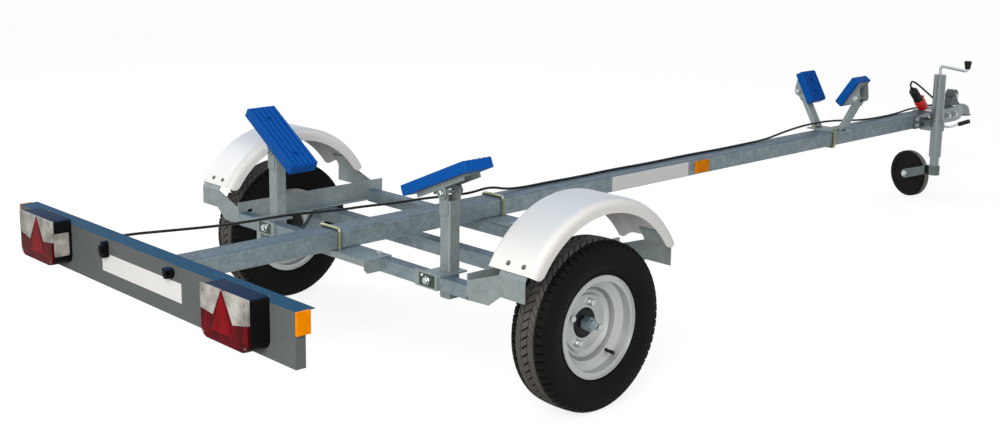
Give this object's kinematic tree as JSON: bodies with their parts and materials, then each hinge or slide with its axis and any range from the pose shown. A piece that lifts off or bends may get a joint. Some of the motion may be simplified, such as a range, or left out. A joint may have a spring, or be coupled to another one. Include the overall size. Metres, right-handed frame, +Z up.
{
  "type": "boat trailer",
  "caption": "Single-axle boat trailer: galvanised central beam, cross tubes, tilting hull pads at stern and bow, mudguards, light board, jockey wheel jack and ball coupling.",
  "frame": {"origin": "middle of the bounding box's footprint, on the floor under the tyres and the jockey wheel", "axes": "+Z up, +Y forward to the coupling, +X to the trailer's right; the trailer stands as it parks, its nose 1.0 degree down on the jockey wheel"},
  "size_m": [1.54, 4.25, 0.7034],
  "materials": {
    "galvanised_steel": "hot-dip galvanised, spangled",
    "passivated_steel": "yellow passivated zinc",
    "tyre_rubber": "black, moulded tread",
    "rim_paint": "light silver paint",
    "hub_paint": "black paint",
    "pad_plastic": "blue moulded plastic, satin",
    "guard_plastic": "white moulded plastic",
    "lamp_plastic": "red and clear lens in a black shell",
    "amber_plastic": "ribbed amber reflector",
    "black_plastic": "black moulded plastic",
    "black_rubber": "black rubber, matt",
    "jockey_rubber": "dark grey solid rubber",
    "plug_plastic": "black body with a red cap",
    "dark_steel": "dark grey paint"
  },
  "bodies": {
    "frame": {"main_beam": "galvanised_steel", "cross_tube_rear": "galvanised_steel", "cross_tube_front": "galvanised_steel", "cross_saddles": "galvanised_steel", "cross_u_bolts": "passivated_steel", "axle_tube": "galvanised_steel", "axle_arms": "galvanised_steel", "bow_support": "galvanised_steel", "bow_u_bolt": "passivated_steel", "light_board": "galvanised_steel", "plate_lamps": "black_plastic", "reflectors": "amber_plastic", "jack_outer_tube": "galvanised_steel", "jack_crank": "galvanised_steel", "jack_grips": "black_plastic", "jack_clamp": "galvanised_steel", "clamp_lever": "galvanised_steel", "coupling_head": "galvanised_steel", "coupling_handle": "dark_steel", "cable_gland": "black_rubber", "cable": "black_rubber", "plug": "plug_plastic", "side_rail_left": "galvanised_steel", "mudguard_left": "guard_plastic", "guard_brackets_left": "galvanised_steel", "bunk_post_left": "galvanised_steel", "post_clamp_left": "galvanised_steel", "tail_lamp_left": "lamp_plastic", "side_rail_right": "galvanised_steel", "mudguard_right": "guard_plastic", "guard_brackets_right": "galvanised_steel", "bunk_post_right": "galvanised_steel", "post_clamp_right": "galvanised_steel", "tail_lamp_right": "lamp_plastic"},
    "jack_leg": {"jack_leg": "galvanised_steel"},
    "jack_fork": {"jack_fork": "galvanised_steel"},
    "jockey": {"jockey_wheel": "jockey_rubber"},
    "wheel_left": {"tyre_left": "tyre_rubber", "rim_left": "rim_paint", "hub_left": "hub_paint"},
    "rear_pad_left": {"rear_pad_left": "pad_plastic", "rear_pad_channel_left": "galvanised_steel"},
    "bow_pad_left": {"bow_pad_left": "pad_plastic", "bow_pad_channel_left": "galvanised_steel"},
    "wheel_right": {"tyre_right": "tyre_rubber", "rim_right": "rim_paint", "hub_right": "hub_paint"},
    "rear_pad_right": {"rear_pad_right": "pad_plastic", "rear_pad_channel_right": "galvanised_steel"},
    "bow_pad_right": {"bow_pad_right": "pad_plastic", "bow_pad_channel_right": "galvanised_steel"}
  },
  "joints": [
    {"name": "wheel_left_spin", "type": "hinge", "parent": "frame", "child": "wheel_left", "pos_m": [-0.6975, -1.115, 0.235], "axis": [1, 0, 0], "continuous": true},
    {"name": "wheel_right_spin", "type": "hinge", "parent": "frame", "child": "wheel_right", "pos_m": [0.6975, -1.115, 0.235], "axis": [1, 0, 0], "continuous": true},
    {"name": "jack_leg_slide", "type": "slide", "parent": "frame", "child": "jack_leg", "axis": [0, -0.0168, -0.9999], "range_m": [-0.012, 0.13]},
    {"name": "jockey_swivel", "type": "hinge", "parent": "jack_leg", "child": "jack_fork", "pos_m": [0.106, 1.69271, 0.13474], "axis": [0, 0.0168, 0.9999], "continuous": true},
    {"name": "jockey_spin", "type": "hinge", "parent": "jack_fork", "child": "jockey", "pos_m": [-0.02343, 1.72678, 0.09817], "axis": [-0.2588, -0.9658, 0.0163], "continuous": true},
    {"name": "rear_pad_left_tilt", "type": "hinge", "parent": "frame", "child": "rear_pad_left", "pos_m": [-0.403, -1.33321, 0.58072], "axis": [0, 0.9999, -0.0168], "range_deg": [-15, 15]},
    {"name": "rear_pad_right_tilt", "type": "hinge", "parent": "frame", "child": "rear_pad_right", "pos_m": [0.403, -1.33321, 0.58072], "axis": [0, 0.9999, -0.0168], "range_deg": [-15, 15]},
    {"name": "bow_pad_left_tilt", "type": "hinge", "parent": "frame", "child": "bow_pad_left", "pos_m": [-0.13, 1.06614, 0.52234], "axis": [0, 0.9999, -0.0168], "range_deg": [-15, 8]},
    {"name": "bow_pad_right_tilt", "type": "hinge", "parent": "frame", "child": "bow_pad_right", "pos_m": [0.13, 1.06614, 0.52234], "axis": [0, 0.9999, -0.0168], "range_deg": [-15, 15]}
  ]
}
